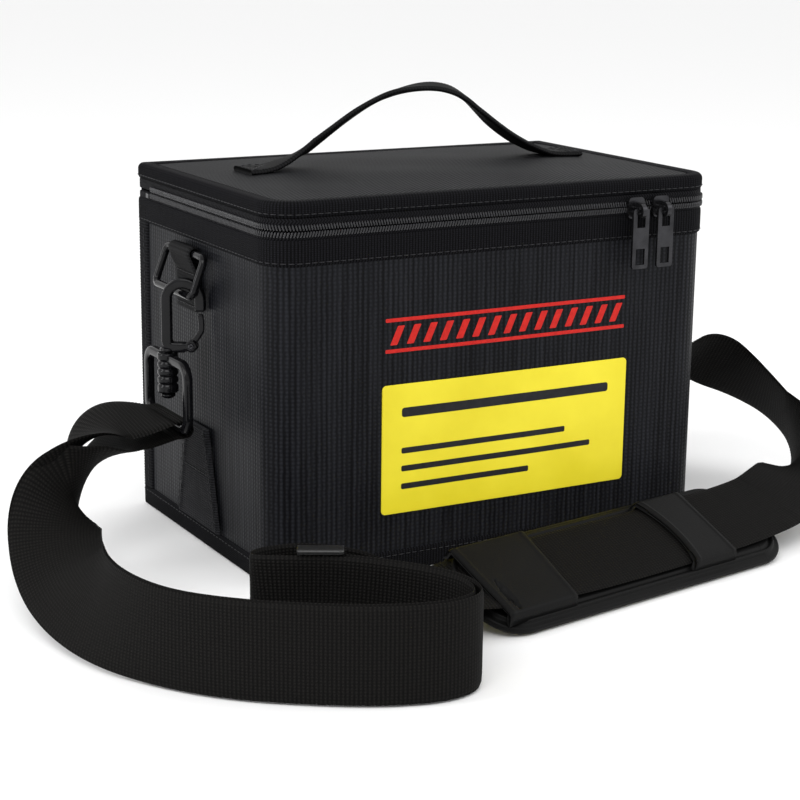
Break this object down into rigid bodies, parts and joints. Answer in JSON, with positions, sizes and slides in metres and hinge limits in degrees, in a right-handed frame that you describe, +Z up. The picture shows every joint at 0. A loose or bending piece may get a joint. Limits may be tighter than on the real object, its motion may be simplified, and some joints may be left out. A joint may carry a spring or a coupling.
{
  "type": "battery safety bag",
  "caption": "Box-shaped fire-resistant carry bag for model-aircraft batteries, with a zipped lid, webbing handle, cable port and a clip-on padded shoulder strap lying round it.",
  "frame": {"origin": "middle of the bag's base, on the surface that it stands on", "axes": "+X to the right along the front, +Y to the back, +Z up"},
  "size_m": [0.4166, 0.2837, 0.2025],
  "materials": {
    "body_cloth": "coated woven cloth, satin",
    "binding_tape": "ribbed binding tape",
    "zip_tape": "herringbone zip tape",
    "zip_coil": "black nylon coil",
    "foam": "closed-cell foam",
    "liner": "grey coated liner cloth",
    "patch_vinyl": "printed yellow film",
    "red_print": "screen print",
    "flap_webbing": "ribbed webbing",
    "webbing": "woven webbing",
    "strap_webbing": "ribbed polyester webbing",
    "black_metal": "gloss black",
    "zip_metal": "dark nickel",
    "black_plastic": "moulded acetal",
    "pad_rubber": "matt moulded rubber"
  },
  "bodies": {
    "bag": {"back_left_binding": "binding_tape", "back_panel": "body_cloth", "back_right_binding": "binding_tape", "base_panel": "body_cloth", "bottom_binding": "binding_tape", "foam_back": "foam", "foam_base": "foam", "foam_front": "foam", "foam_left": "foam", "foam_right": "foam", "front_motif": "red_print", "front_patch": "patch_vinyl", "hinge_strip": "binding_tape", "inner_liner": "liner", "left_d_ring": "black_metal", "left_ring_tab": "webbing", "left_strap_wrap": "strap_webbing", "left_swivel_eye": "black_metal", "lower_zip_coil": "zip_coil", "lower_zip_tape": "zip_tape", "port_flap_fastener": "flap_webbing", "right_d_ring": "black_metal", "right_ring_tab": "webbing", "right_strap_wrap": "strap_webbing", "right_swivel_eye": "black_metal", "strap_adjuster": "black_plastic", "strap_back_run": "strap_webbing", "strap_front_run": "strap_webbing", "strap_left_rise": "strap_webbing", "strap_pad_run": "strap_webbing", "strap_return_rise": "strap_webbing", "strap_return_run": "strap_webbing", "strap_right_rise": "strap_webbing", "top_band": "binding_tape", "wall_wrap": "body_cloth", "zip_end_stops": "zip_coil"},
    "lid": {"lid_top_panel": "body_cloth", "lid_rim": "body_cloth", "lid_foam": "foam", "lid_liner": "liner", "lid_binding": "binding_tape", "upper_zip_tape": "zip_tape", "upper_zip_coil": "zip_coil", "left_handle_anchor": "webbing", "right_handle_anchor": "webbing"},
    "handle": {"carry_handle": "webbing"},
    "left_slider": {"left_slider": "zip_metal"},
    "left_pull": {"left_pull": "zip_metal"},
    "right_slider": {"right_slider": "zip_metal"},
    "right_pull": {"right_pull": "zip_metal"},
    "left_hook": {"left_hook_frame": "black_metal", "left_gate_pin": "black_metal"},
    "left_gate": {"left_hook_gate": "black_metal"},
    "right_hook": {"right_hook_frame": "black_metal", "right_gate_pin": "black_metal"},
    "right_gate": {"right_hook_gate": "black_metal"},
    "port_flap": {"port_flap": "flap_webbing"},
    "shoulder_pad": {"pad_base": "pad_rubber", "pad_left_bridge": "pad_rubber", "pad_right_bridge": "pad_rubber"}
  },
  "joints": [
    {"name": "lid_hinge", "type": "hinge", "parent": "bag", "child": "lid", "pos_m": [0, 0.073, 0.1532], "axis": [-1, 0, 0], "range_deg": [0, 105]},
    {"name": "handle_swing", "type": "hinge", "parent": "lid", "child": "handle", "pos_m": [0.0035, 0.014, 0.1705], "axis": [1, 0, 0], "range_deg": [-22, 22], "stiffness_Nm_per_rad": 0.05},
    {"name": "left_slider_run", "type": "slide", "parent": "bag", "child": "left_slider", "axis": [-1, 0, 0], "range_m": [0, 0.15]},
    {"name": "left_pull_swing", "type": "hinge", "parent": "left_slider", "child": "left_pull", "pos_m": [0.0665, -0.0796, 0.152], "axis": [-1, 0, 0], "range_deg": [0, 150]},
    {"name": "right_slider_run", "type": "slide", "parent": "bag", "child": "right_slider", "axis": [1, 0, 0], "range_m": [-0.0045, 0.0015]},
    {"name": "right_pull_swing", "type": "hinge", "parent": "right_slider", "child": "right_pull", "pos_m": [0.08, -0.0796, 0.152], "axis": [-1, 0, 0], "range_deg": [0, 150]},
    {"name": "left_hook_swivel", "type": "hinge", "parent": "bag", "child": "left_hook", "pos_m": [-0.127, 0.002, 0.081], "axis": [0, 0, 1], "range_deg": [-1, 4]},
    {"name": "left_gate_spring", "type": "hinge", "parent": "left_hook", "child": "left_gate", "pos_m": [-0.11799, -0.00431, 0.0936], "axis": [-0.5736, -0.8192, 0], "range_deg": [0, 20], "stiffness_Nm_per_rad": 0.02},
    {"name": "right_hook_swivel", "type": "hinge", "parent": "bag", "child": "right_hook", "pos_m": [0.127, 0.002, 0.081], "axis": [0, 0, -1], "range_deg": [-1, 4]},
    {"name": "right_gate_spring", "type": "hinge", "parent": "right_hook", "child": "right_gate", "pos_m": [0.11799, -0.00431, 0.0936], "axis": [-0.5736, 0.8192, 0], "range_deg": [0, 20], "stiffness_Nm_per_rad": 0.02},
    {"name": "port_flap_hinge", "type": "hinge", "parent": "bag", "child": "port_flap", "pos_m": [-0.1123, 0.003, 0.0095], "axis": [0, -1, 0], "range_deg": [0, 10]},
    {"name": "pad_slide", "type": "slide", "parent": "bag", "child": "shoulder_pad", "axis": [0.9848, 0.1736, 0], "range_m": [-0.005, 0.005]}
  ]
}
